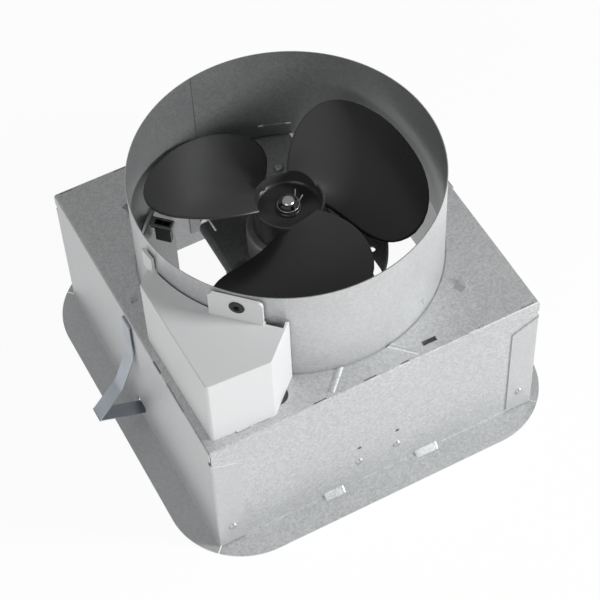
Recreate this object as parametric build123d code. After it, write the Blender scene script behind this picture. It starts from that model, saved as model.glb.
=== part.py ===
from build123d import *
from math import cos, radians, sin, sqrt
import os

# Driving dimensions, in millimetres and degrees. The origin is at the middle of the housing's underside.
BOX_HALF = 117.5
BOX_HEIGHT = 112.0
SHEET = 0.8
BEND = 1.0
SKIN_GAP = 0.1
FLANGE_HALF = 136.0
FLANGE_CORNER = 52.0
MITRE_SLIT = 0.8
COLLAR_RADIUS = 100.0
COLLAR_TOP = 190.3
EAR_TOP = 189.5
COLLAR_WALL = 0.7
PLATE_UNDERSIDE = 112.0
PLATE_THICK = 1.2
PLATE_RADIUS = 63.6
SHAFT_RADIUS = 3.97
BEARING_CLEARANCE = 0.05
MOTOR_RADIUS = 40.5
STACK_LOW = 78.0
STACK_HIGH = 104.0
HUB_RADIUS = 23.2
HUB_LOW = 138.0
HUB_HIGH = 160.0
TIP_RADIUS = 94.8
BLADE_THICK = 2.0
BLADE_AZIMUTHS = (22.5, 142.5, 262.5)
EAR_AZIMUTH = -135.0
PANEL_DISTANCE = 96.9
PARTITION_DISTANCE = 105.2
EAR_HOLE_Z = 181.5
HEEL_TOP = 182.0
SEAM_AZIMUTH = 101.0
COLLAR_GAP = 1.2

# Worked out from the driving dimensions.
SIDE_CENTRE = BOX_HALF - SHEET / 2
WALL_OUTER = BOX_HALF - SHEET - SKIN_GAP
WALL_CENTRE = WALL_OUTER - SHEET / 2
WALL_INNER = WALL_OUTER - SHEET
TOP_UNDERSIDE = BOX_HEIGHT - SHEET
LEDGE_CENTRE = TOP_UNDERSIDE - SKIN_GAP - SHEET / 2
COLLAR_INNER = COLLAR_RADIUS - COLLAR_WALL
PLATE_TOP = PLATE_UNDERSIDE + PLATE_THICK
QUARTERS = (0, 90, 180, 270)
EAR_ANGLES = (45, 135, 225, 315)
FLAP_BOTTOM = 2.2
FLAP_TOP = 97.5
FLAP_END = 98.0
LEG_SCREW_X = 14.0
LEG_RIVET_Z = 24.0
LEG_HOLE_Z = 40.0
CORNER_RIVET_X = 107.0
CORNER_RIVET_Z = 19.5
BUSHING_PLACE = (-86.0, -80.0)
KNOCKOUT_PLACE = (-62.0, -97.6)
KNOCKOUT_RADIUS = 8.0
LUG_LEAN = 22.0
STRAP_WIDTH = 11.0
STRAP_THICK = 0.8
STRAP_PIVOT_X = -119.1
STRAP_PIVOT_Z = 80.0
NOTCH_LOW = 98.0
NOTCH_HIGH = 102.4


def block(x, y, z):
    """A box between two limits on each axis."""
    sizes = [high - low for low, high in (x, y, z)]
    middle = [(high + low) / 2 for low, high in (x, y, z)]
    return Pos(*middle) * Box(*sizes)


def disc(radius, low, high, x=0.0, y=0.0):
    """A cylinder along Z between two heights."""
    return Pos(x, y, low) * Cylinder(radius, high - low, align=(Align.CENTER, Align.CENTER, Align.MIN))


def ring(outer, inner, low, high, x=0.0, y=0.0):
    return disc(outer, low, high, x, y) - disc(inner, low, high, x, y)


def rod_y(radius, low, high, x, z):
    """A cylinder along Y between two limits."""
    cylinder = Cylinder(radius, high - low, align=(Align.CENTER, Align.CENTER, Align.MIN))
    return Pos(x, low, z) * Rot(X=-90) * cylinder


def polar(radius, angle, z=0.0):
    return (radius * cos(radians(angle)), radius * sin(radians(angle)), z)


def turned(shape, angles):
    """Copies of a shape turned about Z."""
    return [Rot(Z=angle) * shape for angle in angles]


def joined(shapes):
    whole = shapes[0]
    for shape in shapes[1:]:
        whole = whole + shape
    return whole


def prism(points, low, high):
    """An upright prism on a polygon."""
    return extrude(Pos(0, 0, low) * make_face(Polyline(*points, close=True)), high - low)


def folded(points, thick, radius=BEND):
    """The section of a folded sheet that follows a line of points with rounded bends."""
    return trace(FilletPolyline(*points, radius=radius), thick)


def along_x(section, half_width):
    """A section drawn in Y and Z, carried along X."""
    return extrude(Plane.YZ * section, half_width, both=True)


def along_y(section, half_width):
    """A section drawn in X and Z, carried along Y."""
    return extrude(Plane.XZ * section, half_width, both=True)


def front_and_back(shape):
    return [shape, Rot(Z=180) * shape]


# ---------------------------------------------------------------- housing

def flange_quarter():
    """The plan of the front flange, between two mitred ends."""
    near = WALL_CENTRE
    far = FLANGE_HALF + 4
    slit = MITRE_SLIT / sqrt(2)
    sector = prism([(-near + slit, -near), (near - slit, -near), (far - slit, -far), (-far + slit, -far)], -1, 2)
    rounded = extrude(Pos(0, 0, -1) * RectangleRounded(2 * FLANGE_HALF, 2 * FLANGE_HALF, FLANGE_CORNER), 3)
    return sector & rounded


def gusset(middle, width):
    """A stiffening bump across the bend between the front wall and its flange."""
    reach = 4.4
    section = Polyline((-WALL_CENTRE, reach), (-WALL_OUTER - reach, SHEET / 2), (-WALL_CENTRE, SHEET / 2), close=True)
    bump = along_x(make_face(section), width / 2)
    slopes = bump.faces().sort_by(Axis.Z)[-1].edges().filter_by(lambda edge: edge.length < width - 1)
    return Pos(middle, 0, 0) * fillet(slopes, 1.6)


def top_rib(side):
    """A stiffening rib from the collar to the front edge."""
    length = 22.0
    width = 5.2
    rib = Rot(X=90) * Cylinder(width / 2, length)
    rib = Rot(Z=45 * side) * Pos(0, 0, -1.5) * rib
    return Pos(side * 23.5, -105.0, BOX_HEIGHT) * rib & block((-60, 60), (-WALL_CENTRE + 2, 0), (BOX_HEIGHT - 0.3, 120))


def lanced(shell, x, y, angle, length, width, rise):
    """Cut a hole in the top plate and stand the lug that came out of it along the hole's far side."""
    place = Pos(x, y, BOX_HEIGHT) * Rot(Z=angle)
    hole = block((-length / 2, length / 2), (-width / 2, width / 2), (-SHEET - 1, 1))
    lug = block((0, SHEET), (-width / 2 + 0.4, width / 2 - 0.4), (0, rise))
    return shell - place * hole + place * Pos(length / 2, 0, -SHEET / 2) * Rot(Y=LUG_LEAN) * lug


def corner_return(side):
    """A narrow return of the front wall that stands just inside the side panel."""
    return Pos(side * 113.2, 0, 0) * block((-SHEET / 2, SHEET / 2), (-WALL_CENTRE, -98), (80, 106))


def housing_shell():
    points = [
        (-FLANGE_HALF, SHEET / 2),
        (-WALL_CENTRE, SHEET / 2),
        (-WALL_CENTRE, BOX_HEIGHT - SHEET / 2),
        (WALL_CENTRE, BOX_HEIGHT - SHEET / 2),
        (WALL_CENTRE, SHEET / 2),
        (FLANGE_HALF, SHEET / 2),
    ]
    sheet = along_x(folded(points, SHEET), FLANGE_HALF)
    half = BOX_HALF - SHEET - 3 * SKIN_GAP
    core = block((-half, half), (-WALL_OUTER, WALL_OUTER), (-1, BOX_HEIGHT + 1))
    shell = sheet & joined([core, *front_and_back(flange_quarter())])
    pressed = [gusset(-33.5, 15), gusset(36, 17), top_rib(-1), top_rib(1), corner_return(-1), corner_return(1)]
    shell = joined([shell, *pressed, *[Rot(Z=180) * shape for shape in pressed]])
    shell -= disc(COLLAR_RADIUS + COLLAR_GAP, TOP_UNDERSIDE - 1, BOX_HEIGHT + 3)
    shell = lanced(shell, 78.8, -81.4, 27, 5.8, 7.2, 6.0)
    shell = lanced(shell, -78.8, 81.4, 207, 5.8, 7.2, 6.0)
    shell = lanced(shell, -107.4, 9.8, 90, 2.2, 4.6, 2.4)
    shell -= block((36, 46), (-110.2, -106.6), (TOP_UNDERSIDE - 1, BOX_HEIGHT + 1))
    for x in (-40, -5, 21.5, 70, 109):
        for side in (-1, 1):
            slit = block((x - 4.5, min(x + 4.5, 114)), (-115.3, -114.5), (TOP_UNDERSIDE - 1, BOX_HEIGHT + 1))
            shell -= Rot(Z=90 - 90 * side) * slit
    for side in (-1, 1):
        outer, inner = sorted((side * (WALL_OUTER + 1), side * (WALL_INNER - 1)))
        for x in (-LEG_SCREW_X, LEG_SCREW_X):
            shell -= rod_y(1.6, outer, inner, x, LEG_RIVET_Z)
            shell -= rod_y(1.5, outer, inner, x, LEG_HOLE_Z)
        for x in (-CORNER_RIVET_X, CORNER_RIVET_X):
            shell -= rod_y(1.6, outer, inner, x, CORNER_RIVET_Z)
    for x in (-91.0, -76.0):
        shell -= block((x - 4.6, x + 4.6), (-111.1, -108.5), (TOP_UNDERSIDE - 1, BOX_HEIGHT + 1))
    for z in (35, 85):
        shell -= rod_y(1.6, WALL_INNER - 1, WALL_OUTER + 1, -51, z)
    shell -= disc(KNOCKOUT_RADIUS, TOP_UNDERSIDE - 1, BOX_HEIGHT + 1, *KNOCKOUT_PLACE)
    return shell - disc(6.5, TOP_UNDERSIDE - 1, BOX_HEIGHT + 1, *BUSHING_PLACE)


def side_panel():
    """The left panel. The right one is its mirror image."""
    points = [
        (-FLANGE_HALF, SHEET / 2),
        (-SIDE_CENTRE, SHEET / 2),
        (-SIDE_CENTRE, LEDGE_CENTRE),
        (-104, LEDGE_CENTRE),
    ]
    wall = along_y(folded(points, SHEET), FLANGE_HALF)
    lower = block((-BOX_HALF, 0), (-WALL_CENTRE, WALL_CENTRE), (-1, NOTCH_LOW))
    notched = block((-BOX_HALF, 0), (-114, 114), (NOTCH_LOW - 1, NOTCH_HIGH + 1))
    upper = block((-BOX_HALF, -116.5), (-116.3, 116.3), (NOTCH_HIGH, BOX_HEIGHT))
    ledge = block((-117, 0), (-115.4, 115.4), (NOTCH_HIGH, BOX_HEIGHT))
    inside = joined([lower, notched, upper, ledge, Rot(Z=-90) * flange_quarter()])
    panel = wall & inside
    for side in (-1, 1):
        bend = [(-SIDE_CENTRE, side * 100), (-SIDE_CENTRE, side * SIDE_CENTRE), (-FLAP_END, side * SIDE_CENTRE)]
        flap = extrude(Pos(0, 0, FLAP_BOTTOM) * folded(bend, SHEET), FLAP_TOP - FLAP_BOTTOM)
        slope = Polyline((-120, 0), (-90, 0), (-90, 85.2), (-BOX_HALF, FLAP_TOP), (-120, FLAP_TOP), close=True)
        panel += flap & along_y(make_face(slope), 120)
        outer, inner = sorted((side * (BOX_HALF + 1), side * (WALL_OUTER - 1)))
        panel -= rod_y(1.6, outer, inner, -CORNER_RIVET_X, CORNER_RIVET_Z)
    panel -= block((-119, -115), (-6.3, 6.3), (107.0, 109.6))
    panel -= block((-119, -115), (-6.3, 6.3), (5.0, 16.8))
    for low, high, depth in ((-48, -37, 2.1), (-81, -56, 1.8), (-108, -86, 1.2)):
        panel -= block((-119, -115.6), (low, high), (BOX_HEIGHT - depth, BOX_HEIGHT))
    return panel


def duct_collar():
    """The rolled collar: a foot flange below the top plate and a plain tube through its hole."""
    tube = ring(COLLAR_RADIUS, COLLAR_INNER, TOP_UNDERSIDE - SHEET, COLLAR_TOP)
    foot = ring(COLLAR_RADIUS + 4, COLLAR_INNER, TOP_UNDERSIDE - SHEET, TOP_UNDERSIDE)
    seam = Rot(Z=SEAM_AZIMUTH) * block((90, COLLAR_INNER + 0.3), (-0.5, 0.5), (BOX_HEIGHT + 0.5, COLLAR_TOP + 1))
    grooves = Rot(Z=68.5) * block((90, COLLAR_INNER + 0.4), (-11, 11), (120.2, 121.6))
    screw_hole = Rot(Z=EAR_AZIMUTH) * Pos(COLLAR_RADIUS, 1.0, EAR_HOLE_Z) * Rot(Y=90) * Cylinder(1.6, 6)
    mark = Rot(Z=-60.5) * Pos(COLLAR_RADIUS, 0, 123) * Rot(X=24) * block((-0.5, 0.35), (-1.1, 1.1), (-4.2, 4.2))
    return tube + foot + mark - seam - grooves - screw_hole


def domed_head(radius, y, height, x, z):
    """A rounded head that faces the front."""
    head = rod_y(radius, y - height, y, x, z)
    return fillet(head.edges().group_by(Axis.Y)[0], 0.8 * height)


def corner_rivets():
    pieces = []
    for x in (-CORNER_RIVET_X, CORNER_RIVET_X):
        rivet = domed_head(2.7, -BOX_HALF, 1.2, x, CORNER_RIVET_Z)
        rivet += rod_y(1.6, -BOX_HALF, -WALL_INNER, x, CORNER_RIVET_Z)
        rivet += rod_y(2.3, -WALL_INNER, -WALL_INNER + 1.2, x, CORNER_RIVET_Z)
        pieces += front_and_back(rivet)
    return pieces


def leg_rivets():
    pieces = []
    leg_inner = WALL_INNER - PLATE_THICK
    for x in (-LEG_SCREW_X, LEG_SCREW_X):
        rivet = domed_head(2.7, -WALL_OUTER, 1.2, x, LEG_RIVET_Z)
        rivet += rod_y(1.6, -WALL_OUTER, -leg_inner, x, LEG_RIVET_Z)
        rivet += rod_y(2.3, -leg_inner, -leg_inner + 1.2, x, LEG_RIVET_Z)
        pieces += front_and_back(rivet)
    return pieces


# ---------------------------------------------------------------- wiring

COVER_TOP = 169.0
COVER_WALL = 2.2
COVER_CORNERS = [(-112.5, -21.5), (-111.2, -109.0), (-68.8, -111.2), (-45.6, -89.4)]
COVER_HEEL = (-104.0, -13.5)
COLLAR_FIT = 101.15
EAR_THICK = 2.0


def wiring_box_cover():
    inside = (-40.0, -40.0)
    outline = make_face(Polyline(COVER_HEEL, *COVER_CORNERS, inside, close=True))
    outline = fillet([v for v in outline.vertices() if v.Y < -100], 2.0)
    cavity = offset(outline, -COVER_WALL)
    outer = extrude(Pos(0, 0, BOX_HEIGHT) * outline, COVER_TOP - BOX_HEIGHT)
    hollow = extrude(Pos(0, 0, BOX_HEIGHT - 1) * cavity, COVER_TOP - BOX_HEIGHT + 1 - COVER_WALL)
    cover = outer - hollow - disc(COLLAR_FIT, BOX_HEIGHT - 1, COVER_TOP + 1)
    rims = cover.edges().group_by(Axis.Z)[-1].filter_by(lambda edge: edge.center().X + edge.center().Y < -150)
    cover = fillet(rims, 0.8)
    gap = block((90, 101.8), (17.4, 29.0), (COVER_TOP - COVER_WALL - 0.1, COVER_TOP + 1))
    cover -= Rot(Z=EAR_AZIMUTH) * gap
    ear = block((COLLAR_FIT, COLLAR_FIT + EAR_THICK), (-17.2, 17.2), (COVER_TOP - COVER_WALL, EAR_TOP))
    ear = fillet(ear.edges().filter_by(Axis.X).group_by(Axis.Z)[-1], 3.0)
    ear -= Pos(102, 1.0, EAR_HOLE_Z) * Rot(Y=90) * Cylinder(3.0, 6)
    cover += Rot(Z=EAR_AZIMUTH) * ear
    heel_lug = ring(COLLAR_FIT + EAR_THICK, COLLAR_FIT, COVER_TOP - COVER_WALL, HEEL_TOP)
    cover += heel_lug & prism([(0, 0), polar(130, -170.5)[:2], polar(130, -176.5)[:2]], BOX_HEIGHT, HEEL_TOP)
    for x in (-91.0, -76.0):
        cover += block((x - 4.2, x + 4.2), (-110.7, -109.0), (107.6, BOX_HEIGHT + 1))
    return cover


def ear_plug():
    """A dished plug in the ear's hole. The screw that will hold the duct goes through its middle."""
    outer = COLLAR_FIT + EAR_THICK
    head = Pos(outer + 0.5, 0, 0) * Rot(Y=90) * Cylinder(4.9, 1.0)
    head = fillet(head.edges().group_by(Axis.X)[-1], 0.6)
    shank = Pos(outer - EAR_THICK / 2, 0, 0) * Rot(Y=90) * Cylinder(2.95, EAR_THICK)
    dish = Pos(outer + 1.0, 0, 0) * Rot(Y=90) * Cylinder(2.2, 1.2)
    bore = Pos(outer, 0, 0) * Rot(Y=90) * Cylinder(1.4, 8)
    return Rot(Z=EAR_AZIMUTH) * Pos(0, 1.0, EAR_HOLE_Z) * (head + shank - dish - bore)


def wire_bushing():
    x, y = BUSHING_PLACE
    sleeve = ring(6.5, 5.0, TOP_UNDERSIDE - 1.6, BOX_HEIGHT, x, y)
    return sleeve + ring(8.5, 5.0, BOX_HEIGHT, BOX_HEIGHT + 1.4, x, y)


def wiring_partition():
    """The partition across the front left corner, under the wiring box, spot-welded to the front wall."""
    wall = WALL_INNER - SHEET / 2
    across = PARTITION_DISTANCE * sqrt(2)
    left_end = BOX_HALF - SHEET - 0.5
    points = [(wall - across + 8, -wall), (wall - across, -wall), (-left_end, left_end - across)]
    return extrude(Pos(0, 0, 47.5) * folded(points, SHEET), 62.5)


def receptacle_panel():
    """The partition across the back left corner, with a tab that carries the receptacle."""
    middle = polar(PANEL_DISTANCE, 135)
    half = 33.2
    reach = half / sqrt(2)
    right = (middle[0] + reach, middle[1] + reach)
    left = (middle[0] - reach, middle[1] - reach)
    wall = WALL_INNER - SHEET / 2
    points = [(right[0] - 12, wall), (right[0], wall), right, left, (-BOX_HALF + SHEET + 0.5, left[1])]
    panel = extrude(Pos(0, 0, 12) * folded(points, SHEET), 97)
    for z in (35, 85):
        panel -= rod_y(1.6, WALL_INNER - 3, WALL_INNER + 1, -51, z)
    tab = block((81.2, PANEL_DISTANCE), (-2.4, 5.2), (108.2, 109))
    opening = block((82.6, 93.8), (-0.8, 3.6), (107, 110))
    return panel + Rot(Z=135) * (tab - opening)


def receptacle():
    """A moulded socket under the tab, with two chambers and a bar between them."""
    flange = block((81.2, 95.4), (-2.4, 5.2), (106.6, 108.2))
    body = block((82.8, 93.6), (-0.6, 3.4), (92, 108.9))
    chambers = block((83.8, 87.6), (0.2, 2.6), (94, 110)) + block((88.8, 92.6), (0.2, 2.6), (94, 110))
    return Rot(Z=135) * (flange + body - chambers)


def panel_screws():
    pieces = []
    for z in (35, 85):
        screw = Rot(Z=180) * domed_head(3.0, -WALL_OUTER, 1.8, 51, z)
        pieces.append(screw + rod_y(1.6, WALL_INNER - 5, WALL_OUTER, -51, z))
    return pieces


# ---------------------------------------------------------------- motor plate

ARM_HALF = 36.0
BACK_ARM_RIGHT = 46.0
WING_END = 48.0
ARM_LOW = 107.8
GROUND_SCREW = (25.3, 66.0)
LIP_BEND = 2.6
LIP_BOTTOM = 106.0


def lip_section(edge):
    """The turned edge of the plate, as a section that ends at the given distance."""
    centre = PLATE_TOP - PLATE_THICK / 2
    return folded([(edge - 8, centre), (edge - 0.6, centre), (edge - 0.6, LIP_BOTTOM)], PLATE_THICK, LIP_BEND)


def motor_plate():
    left_edge = 44.0
    relief = 35.0
    flat = disc(PLATE_RADIUS - 3.4, PLATE_UNDERSIDE, PLATE_TOP) & block((-left_edge + 3.4, 70), (-70, 70), (100, 120))
    rim = revolve(Plane.XZ * lip_section(PLATE_RADIUS), Axis.Z, 96)
    rim = Rot(Z=-48) * rim
    side = Rot(Z=180) * along_y(lip_section(left_edge), 45.0)
    plate = flat + rim + (side & block((-60, 0), (-45, 45), (90, 120)))
    for end in (-1, 1):
        low, high = sorted((end * relief, end * 70))
        plate -= block((-ARM_HALF - 1.5, 42 + 6 * (end > 0)), (low, high), (100, 120))
    plate -= block((-60, -ARM_HALF - 1), (45, 70), (100, 120)) + block((-60, -ARM_HALF - 1), (-70, -45), (100, 120))
    centre = PLATE_TOP - PLATE_THICK / 2
    leg = WALL_INNER - PLATE_THICK / 2
    arm_points = [(relief - 1, centre), (44, centre), (56, ARM_LOW), (leg, ARM_LOW), (leg, 14)]
    bar = along_x(folded(arm_points, PLATE_THICK, 1.2), 60)
    foot = block((-24, 24), (100, 120), (0, 120))
    wing = block((-WING_END, 0), (96, 112), (100, 120))
    back_arm = bar & (block((-ARM_HALF, BACK_ARM_RIGHT), (0, 105), (0, 120)) + foot)
    front_arm = bar & (block((-ARM_HALF, ARM_HALF), (0, 105), (0, 120)) + foot + wing)
    plate = joined([plate, back_arm, Rot(Z=180) * front_arm])
    for end in (-1, 1):
        outer, inner = sorted((end * (leg + 2), end * (leg - 2)))
        for x in (-LEG_SCREW_X, LEG_SCREW_X):
            plate -= rod_y(1.6, outer, inner, x, LEG_RIVET_Z)
            plate -= rod_y(1.5, outer, inner, x, LEG_HOLE_Z)
    plate -= disc(28.3, 100, 120)
    for angle in QUARTERS:
        plate -= disc(2.1, 100, 120, *polar(35, angle)[:2])
    plate -= disc(1.9, 100, 120, *GROUND_SCREW)
    plate -= disc(2.2, 100, 120, 44.8, -28.2)
    return plate + rotation_arrow()


def rotation_arrow():
    """An embossed arrow that follows the fan's turn."""
    low, high = PLATE_TOP - 0.2, PLATE_TOP + 0.5
    sector = prism([(0, 0), polar(60, 121)[:2], polar(60, 146)[:2]], low, high)
    shaft = ring(35.6, 33.4, low, high) & sector
    head = prism([polar(38.0, 144)[:2], polar(31.0, 144)[:2], polar(34.5, 153)[:2]], low, high)
    return shaft + head


# ---------------------------------------------------------------- motor

def upper_end_bell():
    bell = disc(28, 104 + 4.6, 136.5)
    bell = fillet(bell.edges().group_by(Axis.Z)[-1], 1.6)
    bell -= disc(26, 104, 134.5)
    bell += ring(MOTOR_RADIUS, 26, 108.6, PLATE_UNDERSIDE)
    bell += ring(MOTOR_RADIUS, 38.5, STACK_HIGH, 108.6)
    bell += ring(11, 8, 122, 135)
    for angle in EAR_ANGLES:
        bell += Rot(Z=angle) * block((38.8, 45.5), (-4, 4), (STACK_HIGH, 108.6))
    for angle in EAR_ANGLES:
        bell -= disc(2.0, STACK_HIGH - 1, 108, *polar(41.3, angle)[:2])
    for angle in QUARTERS:
        bell -= disc(1.9, 109.2, 113, *polar(35, angle)[:2])
    return bell - disc(5, 130, 140)


def lower_end_bell():
    bell = disc(24, 51, 70)
    bell = fillet(bell.edges().group_by(Axis.Z)[0], 2.0)
    bell -= disc(22, 53, 71)
    bell += ring(MOTOR_RADIUS, 22, 69, 72)
    bell += ring(MOTOR_RADIUS, 38.5, 69, STACK_LOW)
    bell += ring(11, 8, 52, 68)
    for angle in EAR_ANGLES:
        bell += Rot(Z=angle) * block((38.8, 45.5), (-4, 4), (69, STACK_LOW))
    for angle in EAR_ANGLES:
        bell -= disc(2.2, 60, 80, *polar(41.3, angle)[:2])
    return bell


def stator_core():
    """The laminated ring with its four poles and their shoes."""
    core = ring(MOTOR_RADIUS, 36.0, STACK_LOW, STACK_HIGH)
    for angle in EAR_ANGLES:
        core += Rot(Z=angle) * block((37, 45.5), (-4, 4), (STACK_LOW, STACK_HIGH))
    for angle in QUARTERS:
        core += Rot(Z=angle) * block((22, 38), (-7, 7), (STACK_LOW, STACK_HIGH))
        wedge = prism([(0, 0), polar(40, -32)[:2], polar(46, 0)[:2], polar(40, 32)[:2]], STACK_LOW, STACK_HIGH)
        core += Rot(Z=angle) * (ring(23.5, 20.5, STACK_LOW, STACK_HIGH) & wedge)
        core -= Rot(Z=angle + 26) * block((19, 22.4), (-4.0, -2.6), (STACK_LOW, STACK_HIGH))
    for angle in EAR_ANGLES:
        core -= disc(2.2, STACK_LOW, STACK_HIGH, *polar(41.3, angle)[:2])
    return core - disc(20.5, STACK_LOW, STACK_HIGH)


def motor_coils():
    coil = block((24.6, 33.2), (-13, 13), (73.5, 107.8)) - block((20, 40), (-7.2, 7.2), (77.6, 104.4))
    coil = fillet(coil.edges().filter_by(Axis.X).filter_by(lambda e: abs(e.center().Y) > 12), 3.0)
    return turned(coil, QUARTERS)


def shading_rings():
    band = block((20.8, 22.2), (-3.9, 3.9), (76.6, 105.4)) - block((20, 24), (-2.7, 2.7), (77.9, 104.1))
    return turned(band, [angle + 26 for angle in QUARTERS])


def rotor_core():
    return ring(20, SHAFT_RADIUS, STACK_LOW, STACK_HIGH)


def rotor_end_rings():
    return [ring(18, 12, STACK_HIGH, STACK_HIGH + 3), ring(18, 12, STACK_LOW - 3, STACK_LOW)]


def motor_shaft():
    shaft = disc(SHAFT_RADIUS, 54.5, HUB_HIGH)
    return chamfer(shaft.edges().group_by(Axis.Z)[-1], 0.6)


def bearing(low, high):
    """A sleeve bearing with a running clearance on the shaft."""
    return ring(8, SHAFT_RADIUS + BEARING_CLEARANCE, low, high)


def thrust_washers():
    return [ring(6.5, SHAFT_RADIUS, 120.2, 121.4), ring(6.5, SHAFT_RADIUS, 66.6, 67.8)]


def through_screws():
    pieces = []
    for angle in EAR_ANGLES:
        x, y, _ = polar(41.3, angle)
        pieces.append(disc(2.0, 69, 108, x, y) + disc(3.4, 66.4, 69, x, y))
    return pieces


def mounting_screws():
    pieces = []
    for angle in QUARTERS:
        x, y, _ = polar(35, angle)
        pieces.append(disc(1.9, 109.2, PLATE_TOP, x, y) + disc(3.4, PLATE_TOP, PLATE_TOP + 2.2, x, y))
    return pieces


def ground_screw():
    x, y = GROUND_SCREW
    top = ARM_LOW + PLATE_THICK / 2
    head = disc(3.4, top, top + 2.0, x, y)
    head = fillet(head.edges().group_by(Axis.Z)[-1], 1.2)
    return head + disc(1.9, top - 6, top, x, y)


# ---------------------------------------------------------------- propeller

def blade_height(u, angle):
    """Height of the blade's middle surface, from the root (u = 0) to the tip, at an angle in radians."""
    return 161.4 - 4.4 * u + (8.7 + 21.3 * u) * angle + (19.6 * u - 10.5) * angle**2


def blade_radius(u):
    return HUB_RADIUS + u * (TIP_RADIUS - HUB_RADIUS)


def blade_sweep(u):
    """Angle of the blade's middle line, in radians."""
    return 0.636 * u**2 - 0.914 * u


def blade_spread(u):
    """Half the angle that the blade would span without its rounded tip, in radians."""
    return 0.729 + 0.653 * u - 0.846 * u**2


TIP_POWER = 11.7
EDGE_POWER = 2.445


def blade_outline():
    """Plan points round the blade, from the root of one edge over the tip to the root of the other."""
    side = [(u, (1 - max(u, 0) ** TIP_POWER) ** (1 / EDGE_POWER)) for u in (-0.02, 0.15, 0.35, 0.55, 0.72, 0.85, 0.93)]
    tip = [((1 - v**EDGE_POWER) ** (1 / TIP_POWER), v) for v in (0.6, 0.3)]
    rising = side + tip
    whole = rising + [(1.0, 0.0)] + [(u, -v) for u, v in reversed(rising)]
    points = []
    for u, v in whole:
        angle = blade_sweep(u) + v * blade_spread(u)
        points.append((blade_radius(u) * cos(angle), blade_radius(u) * sin(angle)))
    return points


def blade():
    """One blade about the +X direction: a curved sheet of even thickness cut to the plan outline."""
    rows = 9
    columns = 13
    grid = []
    for i in range(rows):
        u = -0.1 + 1.2 * i / (rows - 1)
        line = []
        for j in range(columns):
            angle = blade_sweep(min(u, 1)) + 1.15 * blade_spread(min(u, 0.9)) * (2 * j / (columns - 1) - 1)
            radius = blade_radius(u)
            height = blade_height(u, angle) - BLADE_THICK / 2
            line.append(Vector(radius * cos(angle), radius * sin(angle), height))
        grid.append(line)
    surface = Face.make_surface_from_array_of_points(grid, tol=0.02, min_deg=3, max_deg=8)
    sheet = extrude(surface, BLADE_THICK, dir=(0, 0, 1))
    points = blade_outline()
    outline = make_face(Spline(*points) + Line(points[-1], points[0]))
    return sheet & extrude(Pos(0, 0, 120) * outline, 60)


def fan_propeller():
    floor_low = 150.0
    floor_high = 152.0
    rim_inner = HUB_RADIUS - 1.9
    hub = disc(HUB_RADIUS, HUB_LOW, HUB_HIGH)
    hub = fillet(hub.edges().group_by(Axis.Z)[-1], 0.6)
    hub -= disc(rim_inner, floor_high, HUB_HIGH + 1) + disc(rim_inner, HUB_LOW - 1, floor_low)
    one_blade = blade()
    keep_out = disc(rim_inner + 0.4, 120, 200)
    blades = turned(one_blade - keep_out, BLADE_AZIMUTHS)
    hub += disc(7.4, HUB_LOW + 1.5, 157.5)
    for angle in range(0, 360, 60):
        hub += Rot(Z=angle) * block((6.5, rim_inner + 0.5), (-0.7, 0.7), (HUB_LOW + 3, floor_low + 0.5))
    whole = joined([hub, *blades])
    return whole - disc(SHAFT_RADIUS, HUB_LOW - 1, HUB_HIGH + 8)


def hub_spring_clip():
    """A flat spring ring with two ears, gripping the boss."""
    clip = ring(8.3, 7.4, 153, 156.6) - block((0, 12), (-1.2, 1.2), (150, 160))
    for side in (-1, 1):
        low, high = sorted((side * 1.2, side * 2.1))
        clip += block((7.6, 11.5), (low, high), (153, 156.6))
    return clip


# ---------------------------------------------------------------- spring straps

def strap_anchor():
    """The fixed upper stretch of the left strap, hooked through the slot at the panel's top."""
    points = [(-113.2, 100.5), (-113.2, 108.4), (-119.1, 108.4), (STRAP_PIVOT_X, STRAP_PIVOT_Z + 0.6)]
    return along_y(folded(points, STRAP_THICK, 0.9), STRAP_WIDTH / 2)


def strap_leaf():
    """The springy lower stretch: it bows out to a sharp nose and returns into the box."""
    down = FilletPolyline((STRAP_PIVOT_X, STRAP_PIVOT_Z), (-119.9, 73), (-130.5, 46.5), (-149.5, 24.0), radius=18)
    back = FilletPolyline((-149.5, 24.0), (-117.0, 10.0), (-107.0, 9.0), radius=12)
    leaf = along_y(trace(down, STRAP_THICK), STRAP_WIDTH / 2) + along_y(trace(back, STRAP_THICK), STRAP_WIDTH / 2)
    nose = Rot(X=90) * Cylinder(0.75, STRAP_WIDTH)
    root = Rot(X=90) * Cylinder(STRAP_THICK / 2, STRAP_WIDTH)
    return leaf + Pos(-149.3, 0, 24.0) * nose + Pos(STRAP_PIVOT_X, 0, STRAP_PIVOT_Z) * root


def mirrored(shape):
    return mirror(shape, Plane.YZ)


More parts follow.
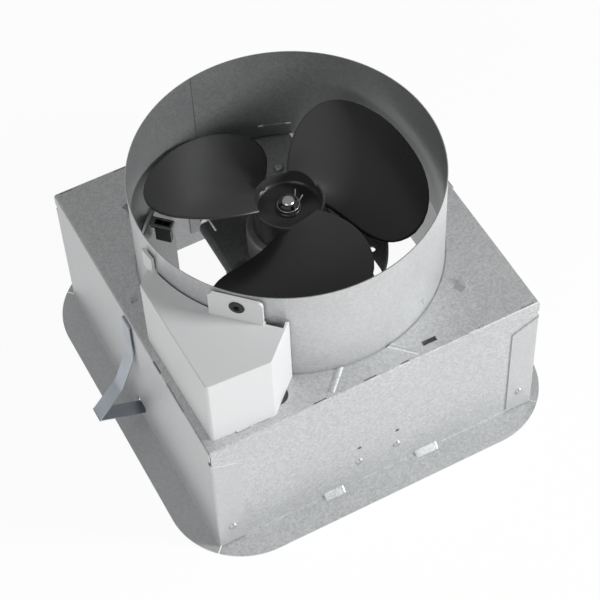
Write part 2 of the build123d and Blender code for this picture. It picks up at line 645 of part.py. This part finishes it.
NODES = {
    "housing_shell": housing_shell,
    "left_side_panel": side_panel,
    "right_side_panel": lambda: mirrored(side_panel()),
    "duct_collar": duct_collar,
    "corner_rivets": corner_rivets,
    "leg_rivets": leg_rivets,
    "wiring_box_cover": wiring_box_cover,
    "ear_plug": ear_plug,
    "wire_bushing": wire_bushing,
    "wiring_partition": wiring_partition,
    "receptacle_panel": receptacle_panel,
    "receptacle": receptacle,
    "receptacle_panel_screws": panel_screws,
    "motor_plate": motor_plate,
    "ground_screw": ground_screw,
    "motor_mounting_screws": mounting_screws,
    "upper_end_bell": upper_end_bell,
    "upper_bearing": lambda: bearing(122.4, 133.6),
    "stator_core": stator_core,
    "motor_coils": motor_coils,
    "shading_rings": shading_rings,
    "lower_end_bell": lower_end_bell,
    "lower_bearing": lambda: bearing(54.0, 65.6),
    "motor_through_screws": through_screws,
    "rotor_core": rotor_core,
    "rotor_end_rings": rotor_end_rings,
    "motor_shaft": motor_shaft,
    "thrust_washers": thrust_washers,
    "fan_propeller": fan_propeller,
    "hub_spring_clip": hub_spring_clip,
    "left_strap_anchor": strap_anchor,
    "left_strap_leaf": strap_leaf,
    "right_strap_anchor": lambda: mirrored(strap_anchor()),
    "right_strap_leaf": lambda: mirrored(strap_leaf()),
}


def write_node(name, make):
    made = make()
    pieces = made if isinstance(made, list) else [made]
    solids = [solid for piece in pieces for solid in piece.solids()]
    shape = solids[0] if len(solids) == 1 else Compound(children=solids)
    export_step(shape, f"parts/{name}.step")


os.makedirs("parts", exist_ok=True)
for node_name, node_maker in NODES.items():
    write_node(node_name, node_maker)
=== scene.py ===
from math import cos, pi, radians, sin, sqrt

import bmesh
import bpy
from bpy.props import FloatProperty, FloatVectorProperty, PointerProperty
from mathutils import Matrix, Vector


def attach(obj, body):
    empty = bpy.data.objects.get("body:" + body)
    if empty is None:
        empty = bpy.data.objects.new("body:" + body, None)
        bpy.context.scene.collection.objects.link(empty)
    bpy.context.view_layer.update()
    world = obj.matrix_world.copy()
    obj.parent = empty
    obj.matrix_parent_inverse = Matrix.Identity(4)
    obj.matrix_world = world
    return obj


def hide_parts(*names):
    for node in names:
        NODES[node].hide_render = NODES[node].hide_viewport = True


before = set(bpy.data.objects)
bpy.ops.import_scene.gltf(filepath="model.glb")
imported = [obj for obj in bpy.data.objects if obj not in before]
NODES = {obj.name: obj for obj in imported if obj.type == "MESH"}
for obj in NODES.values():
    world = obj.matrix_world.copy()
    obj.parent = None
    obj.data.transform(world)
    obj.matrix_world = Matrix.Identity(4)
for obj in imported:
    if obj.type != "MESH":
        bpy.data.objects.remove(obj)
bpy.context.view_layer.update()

bl_info = {
    "name": "Exhaust Hood Fan",
    "version": (1, 0, 0),
    "blender": (4, 5, 0),
    "location": "3D View > Sidebar > Hood Fan",
    "description": "Finishes and fine parts of a ducted hood fan, with its stage",
    "category": "Object",
}

MM = 0.001

# Radius inside which the collar's sheet gets painted shade: a darker tone standing in for the shade
# in its bore
COLLAR_SHADE_RADIUS = 99.7 * MM
CAST_ALLOY = (0.60, 0.60, 0.58)
LAMINATIONS = (0.30, 0.30, 0.31)
COPPER = (0.50, 0.19, 0.08)
BRONZE = (0.42, 0.27, 0.13)
GROUND_STEEL = (0.46, 0.46, 0.46)
ZINC = (0.55, 0.56, 0.57)
CLIP_STEEL = (0.34, 0.34, 0.33)
STRAP_STEEL = (0.42, 0.45, 0.50)
STRAP_GRAIN = (180.0, 2600.0, 180.0)

FLOOR_HALF = 4.0
FLOOR_DROP = 0.4 * MM
FLOOR_TONE = (0.93, 0.93, 0.93, 1)
FLOOR_WHITENESS = 0.94
FLOOR_IN_GLOSS = 1.0
SKY_IN_GLOSS = 0.2
LAMP_AIM = (0, 0, 0.08)
KEY_PLACE = (1.35, -1.10, 0.95)
KEY_SIZE = 0.6
FILL_PLACE = (-1.4, -0.9, 0.9)
FILL_SIZE = 1.2
CAMERA_PLACE = (-0.3365, -0.7152, 1.1221)
CAMERA_AIM = (0.25603, 0.53674, -0.80396)
CAMERA_ROLL = radians(3.013)


# ------------------------------------------------------------------ settings

class SheetSettings(bpy.types.PropertyGroup):
    tone: FloatVectorProperty(
        name="Sheet Tone", description="Colour of the galvanised sheet", subtype="COLOR",
        size=3, min=0, max=1, default=(0.56, 0.57, 0.575),
    )
    mottle: FloatProperty(
        name="Mottle", description="Depth of the zinc's fine mottle", subtype="FACTOR",
        min=0, max=1, default=0.34,
    )
    grain: FloatProperty(
        name="Grain Size", description="Size of one zinc grain", subtype="DISTANCE", unit="LENGTH",
        min=0.0005, max=0.02, default=0.0013,
    )
    roughness: FloatProperty(
        name="Roughness", description="Middle roughness of the sheet", subtype="FACTOR",
        min=0, max=1, default=0.42,
    )


class PlasticSettings(bpy.types.PropertyGroup):
    cover: FloatVectorProperty(
        name="Cover", description="Colour of the wiring box cover", subtype="COLOR",
        size=3, min=0, max=1, default=(0.68, 0.685, 0.69),
    )
    fan: FloatVectorProperty(
        name="Fan", description="Colour of the propeller", subtype="COLOR",
        size=3, min=0, max=1, default=(0.034, 0.034, 0.034),
    )
    black: FloatVectorProperty(
        name="Black", description="Colour of the small black mouldings", subtype="COLOR",
        size=3, min=0, max=1, default=(0.012, 0.012, 0.012),
    )


class StageSettings(bpy.types.PropertyGroup):
    key: FloatProperty(
        name="Key Lamp", description="Power of the lamp on the right", unit="POWER",
        min=0, max=500, default=35,
    )
    fill: FloatProperty(
        name="Fill Lamp", description="Power of the lamp on the left", unit="POWER",
        min=0, max=500, default=12,
    )
    sky: FloatProperty(
        name="Sky", description="Brightness of the surrounding white", min=0, max=2, default=0.22,
    )
    lens: FloatProperty(
        name="Lens", description="Focal length of the camera in millimetres",
        min=20, max=300, default=118.34,
    )


# ------------------------------------------------------------------ shader expressions

class Sock:
    """A node's output that takes part in Python arithmetic, which adds Math nodes."""

    def __init__(self, tree, socket=None):
        self.tree = tree
        self.socket = socket

    def node(self, kind, settings=None, inputs=None, output=0):
        """Add a node: its settings first, then the values or links of its sockets."""
        made = self.tree.nodes.new(kind)
        for name, value in (settings or {}).items():
            setattr(made, name, value)
        for name, value in (inputs or {}).items():
            if isinstance(value, Sock):
                self.tree.links.new(value.socket, made.inputs[name])
            else:
                made.inputs[name].default_value = value
        return Sock(self.tree, made.outputs[output])

    def math(self, operation, *values):
        return self.node("ShaderNodeMath", {"operation": operation}, dict(enumerate(values)))

    def __add__(self, other):
        return self.math("ADD", self, other)

    def __radd__(self, other):
        return self.math("ADD", other, self)

    def __sub__(self, other):
        return self.math("SUBTRACT", self, other)

    def __rsub__(self, other):
        return self.math("SUBTRACT", other, self)

    def __mul__(self, other):
        return self.math("MULTIPLY", self, other)

    def __rmul__(self, other):
        return self.math("MULTIPLY", other, self)

    def mix(self, low, high):
        """A colour between two colours, by this value."""
        return self.node(
            "ShaderNodeMix", {"data_type": "RGBA"},
            {"Factor": self, "A": rgba(low), "B": rgba(high)}, output=2,
        )

    def stretched(self, scale):
        """A vector with each of its numbers multiplied."""
        return self.node("ShaderNodeVectorMath", {"operation": "MULTIPLY"}, {0: self, 1: scale})

    def from_axis(self):
        """How far this place is from the fan's axis."""
        level = self.stretched((1, 1, 0))
        return level.node(
            "ShaderNodeVectorMath", {"operation": "LENGTH"}, {0: level}, output="Value",
        )

    def noise(self, scale, detail=2.0, roughness=0.5):
        return self.node(
            "ShaderNodeTexNoise", {},
            {"Vector": self, "Scale": scale, "Detail": detail, "Roughness": roughness},
        )

    def cells(self, scale):
        """A random grey for each cell."""
        colour = self.node("ShaderNodeTexVoronoi", {}, {"Vector": self, "Scale": scale}, output=1)
        return colour.node("ShaderNodeSeparateColor", {}, {"Color": colour})

    def bump(self, distance, strength=1.0):
        return self.node(
            "ShaderNodeBump", {}, {"Height": self, "Distance": distance, "Strength": strength},
        )


def rgba(colour):
    if isinstance(colour, Sock):
        return colour
    return (*colour, 1.0) if len(colour) == 3 else colour


def shaded(colour, factor):
    return tuple(min(1.0, part * factor) for part in colour)


def seen_as_background(start, gloss):
    """One for the camera's rays and rays through glass, a share for gloss, nought for the rest."""
    seen = start.node("ShaderNodeLightPath", output="Is Camera Ray")
    through = start.node("ShaderNodeLightPath", output="Is Transmission Ray")
    mirrored = start.node("ShaderNodeLightPath", output="Is Glossy Ray") * gloss
    return seen.math("MAXIMUM", seen, seen.math("MAXIMUM", mirrored, through))


def new_material(name, **constants):
    """A Principled material: the shader's own sockets take the constants."""
    material = bpy.data.materials.new(name)
    material.use_nodes = True
    shader = material.node_tree.nodes["Principled BSDF"]
    for socket, value in constants.items():
        shader.inputs[socket.replace("_", " ")].default_value = value
    start = Sock(material.node_tree)
    place = start.node("ShaderNodeTexCoord", output=3)
    return material, place


def feed(material, **links):
    """Link values that vary over the surface to the shader."""
    shader = material.node_tree.nodes["Principled BSDF"]
    for socket, value in links.items():
        material.node_tree.links.new(value.socket, shader.inputs[socket.replace("_", " ")])
    return material


def about(middle, *parts):
    """A value that varies about a middle one: each part is a value from 0 to 1 with its weight."""
    total, *others = [(value - 0.5) * weight for value, weight in parts]
    for other in others:
        total = total + other
    return total + middle


def toned(value, tone, dark, light):
    """A colour from a darker to a lighter share of a tone."""
    return value.mix(shaded(tone, dark), shaded(tone, light))


def galvanised(name, tone, mottle, grain, roughness, shade_radius=0.0):
    """Zinc-coated sheet: fine grains over slow clouds of tone, with painted shade (a darker tone)
    inside the given radius.
    """
    material, place = new_material(name, Metallic=0.5)
    grains = place.cells(1 / grain)
    specks = place.noise(0.8 / grain, detail=3.0, roughness=0.6)
    clouds = place.noise(14.0, detail=3.0)
    tones = about(0.5, (grains * 0.45 + specks * 0.55, 2 * mottle), (clouds, 0.12))
    colour = toned(tones, tone, 0.62, 1.38)
    # Painted shade: inside the given radius the tone is darkened, standing in for the shade inside
    # the collar
    if shade_radius:
        distance = place.from_axis()
        painted_shade_inside = distance.math("LESS_THAN", distance, shade_radius)
        colour = painted_shade_inside.mix(colour, toned(tones, tone, 0.26, 0.72))
    rough = about(roughness, (grains, 0.10), (clouds, 0.12))
    relief = (specks * 0.6 + grains * 0.4).bump(0.00008, strength=0.35)
    return feed(material, Base_Color=colour, Roughness=rough, Normal=relief)


def moulded(name, tone, roughness, texture=0.0006, variation=0.05):
    """Moulded plastic with a fine spark texture."""
    material, place = new_material(name)
    pores = place.noise(1 / texture, roughness=0.6)
    clouds = place.noise(22.0, detail=3.0, roughness=0.55)
    colour = toned(about(0.5, (clouds, 2 * variation)), tone, 0.8, 1.2)
    rough = about(roughness, (clouds, 0.14), (pores, 0.06))
    relief = pores.bump(0.00003, strength=0.4)
    return feed(material, Base_Color=colour, Roughness=rough, Normal=relief)


def turned_metal(name, tone, roughness, metallic=0.9, scratch=(900.0, 900.0, 5200.0)):
    """Bright metal with fine tool marks, which run across the axis with the largest number."""
    material, place = new_material(name, Metallic=metallic)
    marks = place.stretched(scratch).noise(1.0, roughness=0.6)
    clouds = place.noise(60.0)
    colour = toned(about(0.5, (marks, 0.5), (clouds, 0.6)), tone, 0.75, 1.25)
    rough = about(roughness, (marks, 0.16))
    relief = marks.bump(0.00002, strength=0.5)
    return feed(material, Base_Color=colour, Roughness=rough, Normal=relief)


def cast_metal(name, tone, roughness):
    """Die-cast metal with a sandy skin."""
    material, place = new_material(name, Metallic=0.65)
    sand = place.noise(1500.0, detail=3.0, roughness=0.65)
    stains = place.noise(70.0, detail=3.0)
    colour = toned(about(0.5, (sand, 0.5), (stains, 0.6)), tone, 0.7, 1.3)
    rough = about(roughness, (stains, 0.2))
    relief = sand.bump(0.0001, strength=0.6)
    return feed(material, Base_Color=colour, Roughness=rough, Normal=relief)


def stacked_sheet(name, tone):
    """Laminations: thin dark lines one above the other."""
    material, place = new_material(name, Metallic=0.7)
    layers = place.node(
        "ShaderNodeTexWave", {"bands_direction": "Z", "wave_profile": "TRI"},
        {"Vector": place, "Scale": 320.0},
    )
    rust = place.noise(120.0, detail=3.0, roughness=0.6)
    colour = toned(layers * 0.5 + rust * 0.4, tone, 0.45, 1.3)
    rough = rust * 0.3 + 0.4
    relief = layers.bump(0.00012, strength=0.7)
    return feed(material, Base_Color=colour, Roughness=rough, Normal=relief)


def varnished_wire(name, tone):
    """Enamelled winding wire under a thin varnish."""
    material, place = new_material(name, Metallic=0.55)
    blotches = place.noise(160.0, detail=3.0, roughness=0.6)
    strands = place.node(
        "ShaderNodeTexWave", {"bands_direction": "DIAGONAL"},
        {"Vector": place, "Scale": 260.0, "Distortion": 1.5},
    )
    colour = toned(blotches * 0.6 + strands * 0.4, tone, 0.55, 1.35)
    rough = blotches * 0.2 + 0.25
    relief = strands.bump(0.00015, strength=0.6)
    return feed(material, Base_Color=colour, Roughness=rough, Normal=relief)


# ------------------------------------------------------------------ mesh helpers

def new_piece(name, data, material, body, stands_for):
    """Put a mesh or curve in the scene, in its finish, riding on a body in place of a CAD node."""
    piece = bpy.data.objects.new(name, data)
    bpy.context.scene.collection.objects.link(piece)
    data.materials.append(material)
    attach(piece, body)
    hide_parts(stands_for)
    return piece


def paint(material, *names):
    """Give CAD nodes a finish in place of their plain one."""
    for name in names:
        mesh = NODES[name].data
        mesh.materials.clear()
        mesh.materials.append(material)


def to_mesh(work, name, sharp=radians(38)):
    """Turn a bmesh in millimetres into a mesh in metres, smooth but for its steep edges."""
    bmesh.ops.remove_doubles(work, verts=work.verts, dist=0.0005)
    bmesh.ops.recalc_face_normals(work, faces=work.faces)
    bmesh.ops.scale(work, vec=(MM, MM, MM), verts=work.verts)
    mesh = bpy.data.meshes.new(name)
    work.to_mesh(mesh)
    work.free()
    mesh.shade_smooth()
    mesh.set_sharp_from_angle(angle=sharp)
    return mesh


def add_quads(work, grid, wrap_rows=False, wrap_columns=False):
    """Faces between the vertices of a grid, which is a list of rows."""
    rows = len(grid) if wrap_rows else len(grid) - 1
    columns = len(grid[0]) if wrap_columns else len(grid[0]) - 1
    for i in range(rows):
        for j in range(columns):
            near, far = grid[i], grid[(i + 1) % len(grid)]
            corners = [near[j], near[(j + 1) % len(near)], far[(j + 1) % len(far)], far[j]]
            corners = list(dict.fromkeys(corners))
            if len(corners) > 2:
                work.faces.new(corners)


def add_lathe(work, profile, count=96):
    """A closed outline of radii and heights turned about the fan's axis."""
    grid = []
    for k in range(count):
        angle = 2 * pi * k / count
        grid.append([work.verts.new((r * cos(angle), r * sin(angle), z)) for r, z in profile])
    add_quads(work, grid, wrap_rows=True, wrap_columns=True)


def add_sector(work, radii, heights, middle, half, count=10):
    """A block between two radii and two heights, half an angle wide each way from its middle."""
    inner, outer = radii
    low, high = heights
    start, stop = middle - half, middle + half
    grid = []
    for k in range(count + 1):
        angle = start + (stop - start) * k / count
        section = [(inner, low), (outer, low), (outer, high), (inner, high)]
        grid.append([work.verts.new((r * cos(angle), r * sin(angle), z)) for r, z in section])
    add_quads(work, grid, wrap_columns=True)
    work.faces.new(grid[0])
    work.faces.new(grid[-1])


def wire(name, points, radius, material, body, stands_for):
    """A round wire along a smooth line of points in millimetres."""
    curve = bpy.data.curves.new(name, "CURVE")
    curve.dimensions = "3D"
    curve.bevel_depth = radius * MM
    curve.bevel_resolution = 4
    curve.use_fill_caps = True
    spline = curve.splines.new("NURBS")
    spline.points.add(len(points) - 1)
    for point, place in zip(spline.points, points):
        point.co = (*(MM * part for part in place), 1)
    spline.order_u = 3
    spline.use_endpoint_u = True
    return new_piece(name, curve, material, body, stands_for)


# ------------------------------------------------------------------ propeller, in millimetres

HUB_RADIUS = 23.2
HUB_FOOT = 138.0
HUB_RIM = 160.0
SKIRT_BORE = 21.3
FLOOR_TOP = 151.9
FLOOR_UNDERSIDE = 150.0

BOSS_RADIUS = 7.4
BOSS_FOOT = 139.6
BOSS_TOP = 154.4
SHAFT_HOLE = 4.05
FINGER_COUNT = 4
FINGER_HALF_ANGLE = 0.58
RIB_COUNT = 6
RIB_HALF_ANGLE = 0.04

TIP_RADIUS = 94.8
FIRST_BLADE = 22.5
BLADE_COUNT = 3
BLADE_HEIGHT = 161.4
TIP_POWER = 11.7
EDGE_POWER = 2.445
EDGE_ROUND = 1.4
ROOT_THICKNESS = 2.7
TIP_THICKNESS = 1.7
ROOT_STEPS = [0.06 * i - 0.03 for i in range(16)]
TIP_STEPS = [0.915, 0.945, 0.965, 0.98, 0.988, 0.994, 0.998, 0.9996]
CROSS_STEPS = 32

CLIP_RADIUS = 6.95
CLIP_WIRE = 0.45
CLIP_FOOT = 155.3
CLIP_RISE = 1.3
CLIP_START = radians(-8)
CLIP_STOP = radians(388)
CLIP_STEPS = 26


def blade_place(u, t):
    """Radius, angle, height and distance from the edge, on a blade's middle surface.

    u runs from the root to the tip, and t from -1 at one edge to 1 at the other.
    """
    rounding = (1 - max(u, 0.0) ** TIP_POWER) ** (1 / EDGE_POWER)
    half_width = rounding * (0.729 + 0.653 * u - 0.846 * u**2)
    sweep = 0.636 * u**2 - 0.914 * u
    angle = sweep + t * half_width
    radius = HUB_RADIUS + u * (TIP_RADIUS - HUB_RADIUS)
    pitch = 8.7 + 21.3 * u
    camber = 19.6 * u - 10.5
    height = BLADE_HEIGHT - 4.4 * u + pitch * angle + camber * angle**2
    to_side = (1 - abs(t)) * half_width * radius
    to_tip = (1 - u) * (TIP_RADIUS - HUB_RADIUS)
    return radius, angle, height, min(to_side, to_tip)


def add_blade(work, azimuth):
    """A blade that thins towards its tip and has round edges."""
    along = ROOT_STEPS + TIP_STEPS
    across = [sin(pi / 2 * (2 * k / CROSS_STEPS - 1)) for k in range(CROSS_STEPS + 1)]
    top, bottom = [], []
    for u in along:
        upper, lower = [], []
        thickness = ROOT_THICKNESS + (TIP_THICKNESS - ROOT_THICKNESS) * u
        for t in across:
            radius, angle, height, inset = blade_place(u, t)
            ease = min(1.0, max(0.0, inset) / EDGE_ROUND)
            half = thickness / 2 * sqrt(1 - (1 - ease) ** 2)
            turn = angle + azimuth
            x, y = radius * cos(turn), radius * sin(turn)
            on_edge = abs(t) == 1 or u == along[-1]
            upper.append(work.verts.new((x, y, height if on_edge else height + half)))
            lower.append(upper[-1] if on_edge else work.verts.new((x, y, height - half)))
        top.append(upper)
        bottom.append(lower)
    add_quads(work, top)
    add_quads(work, bottom)
    work.faces.new(list(dict.fromkeys(top[0] + bottom[0][::-1])))


def hub_profile():
    """The hub's closed outline: a cup with a rolled rim, a bead on its floor and a boss."""
    rim = [
        (HUB_RADIUS, HUB_FOOT), (HUB_RADIUS, HUB_RIM - 0.8), (23.0, HUB_RIM - 0.2), (22.4, HUB_RIM),
        (21.8, HUB_RIM - 0.2), (21.6, HUB_RIM - 0.8), (21.4, 153.3),
    ]
    bead = [(21.1, 153.0), (20.6, 153.0), (20.2, 152.6), (20.1, FLOOR_TOP)]
    boss = [
        (9.4, FLOOR_TOP), (8.7, 152.3), (8.3, BOSS_TOP - 0.4), (7.9, BOSS_TOP),
        (SHAFT_HOLE, BOSS_TOP), (SHAFT_HOLE, BOSS_FOOT), (BOSS_RADIUS, BOSS_FOOT),
    ]
    skirt = [(BOSS_RADIUS, FLOOR_UNDERSIDE), (SKIRT_BORE, FLOOR_UNDERSIDE), (SKIRT_BORE, HUB_FOOT)]
    return rim + bead + boss + skirt


def propeller_mesh():
    """The hub with the boss's fingers above its floor and ribs below it, and the blades."""
    work = bmesh.new()
    add_lathe(work, hub_profile())
    for k in range(FINGER_COUNT):
        middle = radians(45 + 360 / FINGER_COUNT * k)
        add_sector(work, (4.3, 6.3), (BOSS_TOP - 0.4, 158.4), middle, FINGER_HALF_ANGLE)
    for k in range(RIB_COUNT):
        middle = radians(10 + 360 / RIB_COUNT * k)
        heights = (141.0, FLOOR_UNDERSIDE + 0.2)
        add_sector(work, (7.2, 21.6), heights, middle, RIB_HALF_ANGLE, count=1)
    for k in range(BLADE_COUNT):
        add_blade(work, radians(FIRST_BLADE + 360 / BLADE_COUNT * k))
    return to_mesh(work, "propeller")


def clip_points():
    """A wire turn and a tenth round the boss's fingers, with its ends bent out as two ears."""
    points = [(10.8, 1.2, 157.6), (9.2, 0.2, 156.8)]
    for k in range(CLIP_STEPS + 1):
        share = k / CLIP_STEPS
        angle = CLIP_START + (CLIP_STOP - CLIP_START) * share
        height = CLIP_FOOT + CLIP_RISE * share
        points.append((CLIP_RADIUS * cos(angle), CLIP_RADIUS * sin(angle), height))
    return points + [(8.0, 5.4, 156.9), (8.8, 7.4, 157.8)]


# ------------------------------------------------------------------ operators

class HOODFAN_OT_sheet_parts(bpy.types.Operator):
    """Finish the housing, the side panels, the collar, the motor plate and the partition"""

    bl_idname = "hoodfan.sheet_parts"
    bl_label = "Sheet Parts"

    def execute(self, context):
        look = context.scene.hoodfan_sheet
        tone, mottle, grain, rough = tuple(look.tone), look.mottle, look.grain, look.roughness
        bright = galvanised("galvanised_sheet", tone, mottle, grain, rough)
        satin = galvanised("galvanised_satin", tone, mottle * 0.5, grain, rough + 0.04)
        # The collar's copy of the sheet carries painted shade, a darker tone, inside its bore
        collar_painted_shade = galvanised(
            "galvanised_collar", tone, mottle * 0.6, grain, rough + 0.04, shade_radius=COLLAR_SHADE_RADIUS,
        )
        dull = galvanised("galvanised_dull", shaded(tone, 0.8), mottle, grain, rough + 0.08)
        paint(bright, "housing_shell")
        paint(satin, "left_side_panel", "right_side_panel")
        paint(collar_painted_shade, "duct_collar")
        paint(dull, "motor_plate", "receptacle_panel", "wiring_partition")
        return {"FINISHED"}


class HOODFAN_OT_plastic_parts(bpy.types.Operator):
    """Finish the wiring box cover, the ear's plug, the wire bushing and the receptacle"""

    bl_idname = "hoodfan.plastic_parts"
    bl_label = "Plastic Parts"

    def execute(self, context):
        look = context.scene.hoodfan_plastic
        cover = moulded("cover_plastic", tuple(look.cover), roughness=0.42)
        black = moulded("black_plastic", tuple(look.black), roughness=0.45)
        paint(cover, "wiring_box_cover")
        paint(black, "ear_plug", "wire_bushing", "receptacle")
        return {"FINISHED"}


class HOODFAN_OT_propeller(bpy.types.Operator):
    """Model the propeller and the wire clip on its boss"""

    bl_idname = "hoodfan.propeller"
    bl_label = "Propeller"

    def execute(self, context):
        look = context.scene.hoodfan_plastic
        finish = moulded(
            "fan_plastic", tuple(look.fan), roughness=0.30, texture=0.0009, variation=0.35,
        )
        steel = turned_metal("clip_wire", CLIP_STEEL, roughness=0.34)
        new_piece(
            "propeller", propeller_mesh(), finish,
            "fan_rotor", "fan_propeller",
        )
        wire(
            "hub_clip", clip_points(), CLIP_WIRE, steel,
            "fan_rotor", "hub_spring_clip",
        )
        return {"FINISHED"}


class HOODFAN_OT_motor_parts(bpy.types.Operator):
    """Finish the motor's castings, stacks, windings, bearings and shaft"""

    bl_idname = "hoodfan.motor_parts"
    bl_label = "Motor Parts"

    def execute(self, context):
        cast = cast_metal("die_cast", CAST_ALLOY, roughness=0.5)
        stack = stacked_sheet("lamination_steel", LAMINATIONS)
        copper = varnished_wire("enamelled_copper", COPPER)
        bronze = turned_metal("sintered_bronze", BRONZE, roughness=0.45)
        steel = turned_metal("bright_steel", GROUND_STEEL, roughness=0.32)
        paint(cast, "upper_end_bell", "lower_end_bell", "rotor_end_rings")
        paint(stack, "stator_core", "rotor_core")
        paint(copper, "motor_coils", "shading_rings")
        paint(bronze, "upper_bearing", "lower_bearing")
        paint(steel, "motor_shaft", "thrust_washers")
        return {"FINISHED"}


class HOODFAN_OT_fasteners(bpy.types.Operator):
    """Finish the screws and rivets"""

    bl_idname = "hoodfan.fasteners"
    bl_label = "Fasteners"

    def execute(self, context):
        zinc = turned_metal("zinc_fasteners", ZINC, roughness=0.36)
        paint(
            zinc, "corner_rivets", "leg_rivets", "receptacle_panel_screws", "ground_screw",
            "motor_mounting_screws", "motor_through_screws",
        )
        return {"FINISHED"}


class HOODFAN_OT_springs(bpy.types.Operator):
    """Finish the spring straps"""

    bl_idname = "hoodfan.springs"
    bl_label = "Springs"

    def execute(self, context):
        steel = turned_metal(
            "spring_steel", STRAP_STEEL, roughness=0.40, metallic=0.85, scratch=STRAP_GRAIN,
        )
        for side in ("left", "right"):
            paint(steel, f"{side}_strap_anchor", f"{side}_strap_leaf")
        return {"FINISHED"}


class HOODFAN_OT_stage(bpy.types.Operator):
    """Lay the floor, hang the lamps and set the camera"""

    bl_idname = "hoodfan.stage"
    bl_label = "Stage"

    def floor(self):
        signs = ((-1, -1), (1, -1), (1, 1), (-1, 1))
        corners = [(x * FLOOR_HALF, y * FLOOR_HALF, -FLOOR_DROP) for x, y in signs]
        mesh = bpy.data.meshes.new("floor")
        mesh.from_pydata(corners, [], [(0, 1, 2, 3)])
        material, place = new_material("floor_white", Base_Color=FLOOR_TONE, Roughness=0.9)
        tree = material.node_tree
        lit = Sock(tree, tree.nodes["Principled BSDF"].outputs[0])
        white = place.node("ShaderNodeEmission", {}, {"Color": (1, 1, 1, 1), "Strength": 1.0})
        share = seen_as_background(place, FLOOR_IN_GLOSS) * FLOOR_WHITENESS
        both = place.node("ShaderNodeMixShader", {}, {0: share, 1: lit, 2: white})
        tree.links.new(both.socket, tree.nodes["Material Output"].inputs["Surface"])
        mesh.materials.append(material)
        floor = bpy.data.objects.new("floor", mesh)
        bpy.context.scene.collection.objects.link(floor)

    def lamp(self, name, place, size, power):
        data = bpy.data.lights.new(name, "AREA")
        data.shape = "DISK"
        data.size = size
        data.energy = power
        lamp = bpy.data.objects.new(name, data)
        lamp.location = place
        lamp.rotation_mode = "QUATERNION"
        lamp.rotation_quaternion = (Vector(LAMP_AIM) - Vector(place)).to_track_quat("-Z", "Y")
        bpy.context.scene.collection.objects.link(lamp)

    def sky(self, strength):
        world = bpy.data.worlds.new("sky")
        bpy.context.scene.world = world
        world.use_nodes = True
        back = world.node_tree.nodes["Background"]
        back.inputs["Color"].default_value = (1, 1, 1, 1)
        seen = seen_as_background(Sock(world.node_tree), SKY_IN_GLOSS)
        level = seen * (1.0 - strength) + strength
        world.node_tree.links.new(level.socket, back.inputs["Strength"])

    def camera(self, lens):
        data = bpy.data.cameras.new("camera")
        data.lens = lens
        data.sensor_width = 36.0
        data.clip_start = 0.05
        data.clip_end = 50.0
        camera = bpy.data.objects.new("camera", data)
        forward = Vector(CAMERA_AIM).normalized()
        level = forward.cross(Vector((0, 0, 1))).normalized()
        down = forward.cross(level)
        right = level * cos(CAMERA_ROLL) + down * sin(CAMERA_ROLL)
        up = right.cross(forward)
        turn = Matrix((right, up, -forward)).transposed().to_4x4()
        camera.matrix_world = Matrix.Translation(CAMERA_PLACE) @ turn
        bpy.context.scene.collection.objects.link(camera)
        bpy.context.scene.camera = camera

    def execute(self, context):
        look = context.scene.hoodfan_stage
        self.floor()
        self.lamp("key_lamp", KEY_PLACE, KEY_SIZE, look.key)
        self.lamp("fill_lamp", FILL_PLACE, FILL_SIZE, look.fill)
        self.sky(look.sky)
        self.camera(look.lens)
        context.scene.view_settings.view_transform = "Standard"
        return {"FINISHED"}


class HOODFAN_PT_panel(bpy.types.Panel):
    """Lists the settings and the steps"""

    bl_idname = "HOODFAN_PT_panel"
    bl_label = "Hood Fan"
    bl_space_type = "VIEW_3D"
    bl_region_type = "UI"
    bl_category = "Hood Fan"

    def draw(self, context):
        scene = context.scene
        for group in (scene.hoodfan_sheet, scene.hoodfan_plastic, scene.hoodfan_stage):
            box = self.layout.box()
            for name in group.__annotations__:
                box.prop(group, name)
        for operator in OPERATORS:
            self.layout.operator(operator.bl_idname)


OPERATORS = (
    HOODFAN_OT_sheet_parts,
    HOODFAN_OT_plastic_parts,
    HOODFAN_OT_propeller,
    HOODFAN_OT_motor_parts,
    HOODFAN_OT_fasteners,
    HOODFAN_OT_springs,
    HOODFAN_OT_stage,
)
CLASSES = (SheetSettings, PlasticSettings, StageSettings, *OPERATORS, HOODFAN_PT_panel)


def register():
    for cls in CLASSES:
        bpy.utils.register_class(cls)
    bpy.types.Scene.hoodfan_sheet = PointerProperty(type=SheetSettings)
    bpy.types.Scene.hoodfan_plastic = PointerProperty(type=PlasticSettings)
    bpy.types.Scene.hoodfan_stage = PointerProperty(type=StageSettings)


def unregister():
    del bpy.types.Scene.hoodfan_stage
    del bpy.types.Scene.hoodfan_plastic
    del bpy.types.Scene.hoodfan_sheet
    for cls in reversed(CLASSES):
        bpy.utils.unregister_class(cls)


def main():
    register()
    bpy.ops.hoodfan.sheet_parts()
    bpy.ops.hoodfan.plastic_parts()
    bpy.ops.hoodfan.propeller()
    bpy.ops.hoodfan.motor_parts()
    bpy.ops.hoodfan.fasteners()
    bpy.ops.hoodfan.springs()
    bpy.ops.hoodfan.stage()


if __name__ == "__main__":
    main()
